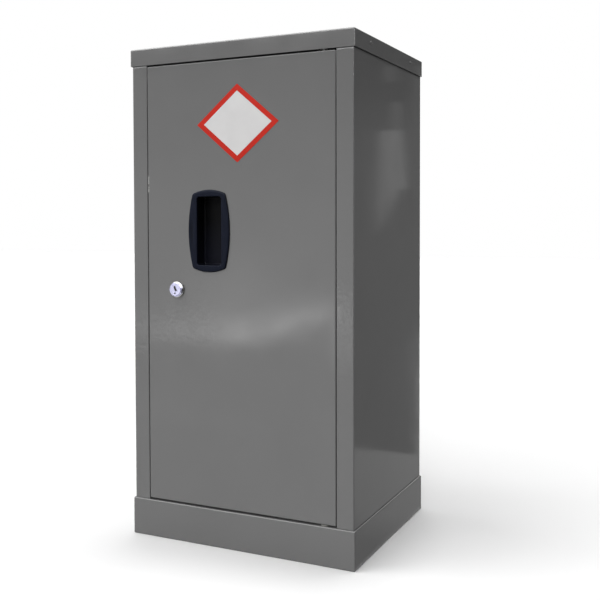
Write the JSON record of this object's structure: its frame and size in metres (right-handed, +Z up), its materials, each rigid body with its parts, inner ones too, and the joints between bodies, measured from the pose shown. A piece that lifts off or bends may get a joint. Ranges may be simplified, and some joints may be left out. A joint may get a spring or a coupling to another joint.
{
  "type": "hazardous materials safety cabinet",
  "caption": "Upright folded-steel safety cabinet with one hinged, lockable door, a flush pull, adjustable shelves, a spill sump, and a cap and plinth that stand proud of the body.",
  "frame": {"origin": "on the floor, under the middle of the whole cabinet with its lock and rivets", "axes": "+Z up, the door faces -Y, the door hinges are on the +X side and the lock on the -X side"},
  "size_m": [0.4424, 0.385, 0.9],
  "materials": {
    "cabinet_paint": "semi-gloss grey powder coat with a fine orange peel",
    "pull_plastic": "satin black moulding with a cool cast",
    "lock_chrome": "bright plated",
    "zinc_steel": "zinc plated",
    "bush_nylon": "natural nylon",
    "buffer_rubber": "matt black rubber",
    "red_vinyl": "printed red vinyl",
    "pale_vinyl": "blank pale grey vinyl"
  },
  "bodies": {
    "root": {"plinth": "cabinet_paint", "left_side_panel": "cabinet_paint", "right_side_panel": "cabinet_paint", "back_panel": "cabinet_paint", "header_rail": "cabinet_paint", "ceiling_panel": "cabinet_paint", "sump_tray": "cabinet_paint", "top_cap": "cabinet_paint", "cap_rivet_left_front": "cabinet_paint", "cap_rivet_left_rear": "cabinet_paint", "cap_rivet_right_front": "cabinet_paint", "cap_rivet_right_rear": "cabinet_paint", "upper_door_buffer": "buffer_rubber", "lower_door_buffer": "buffer_rubber", "upper_hinge_bush": "bush_nylon", "lower_hinge_bush": "bush_nylon", "shelf_upright_left_front": "cabinet_paint", "shelf_upright_left_rear": "cabinet_paint", "shelf_upright_right_front": "cabinet_paint", "shelf_upright_right_rear": "cabinet_paint", "lower_shelf_clip_left_front": "zinc_steel", "lower_shelf_clip_left_rear": "zinc_steel", "lower_shelf_clip_right_front": "zinc_steel", "lower_shelf_clip_right_rear": "zinc_steel", "upper_shelf_clip_left_front": "zinc_steel", "upper_shelf_clip_left_rear": "zinc_steel", "upper_shelf_clip_right_front": "zinc_steel", "upper_shelf_clip_right_rear": "zinc_steel"},
    "door": {"door_skin": "cabinet_paint", "door_stiffener": "cabinet_paint", "upper_hinge_bracket": "cabinet_paint", "lower_hinge_bracket": "cabinet_paint", "upper_hinge_pin": "zinc_steel", "lower_hinge_pin": "zinc_steel", "handle_pull": "pull_plastic", "handle_retainer": "zinc_steel", "handle_screw_1": "zinc_steel", "handle_screw_2": "zinc_steel", "label_border": "red_vinyl", "label_field": "pale_vinyl", "lock_barrel": "lock_chrome", "lock_nut": "zinc_steel"},
    "lock": {"lock_plug": "lock_chrome", "lock_cam": "zinc_steel", "cam_nut": "zinc_steel"},
    "lower_shelf": {"lower_shelf": "cabinet_paint"},
    "upper_shelf": {"upper_shelf": "cabinet_paint"}
  },
  "joints": [
    {"name": "door_hinge", "type": "hinge", "parent": "root", "child": "door", "pos_m": [0.162, -0.1775, 0.07], "axis": [0, 0, 1], "range_deg": [0, 110]},
    {"name": "lock_turn", "type": "hinge", "parent": "door", "child": "lock", "pos_m": [-0.123, -0.1845, 0.4605], "axis": [0, 1, 0], "range_deg": [0, 90]},
    {"name": "lower_shelf_lift", "type": "slide", "parent": "root", "child": "lower_shelf", "axis": [0, 0, 1], "range_m": [0, 0.02]},
    {"name": "upper_shelf_lift", "type": "slide", "parent": "root", "child": "upper_shelf", "axis": [0, 0, 1], "range_m": [0, 0.02]}
  ]
}
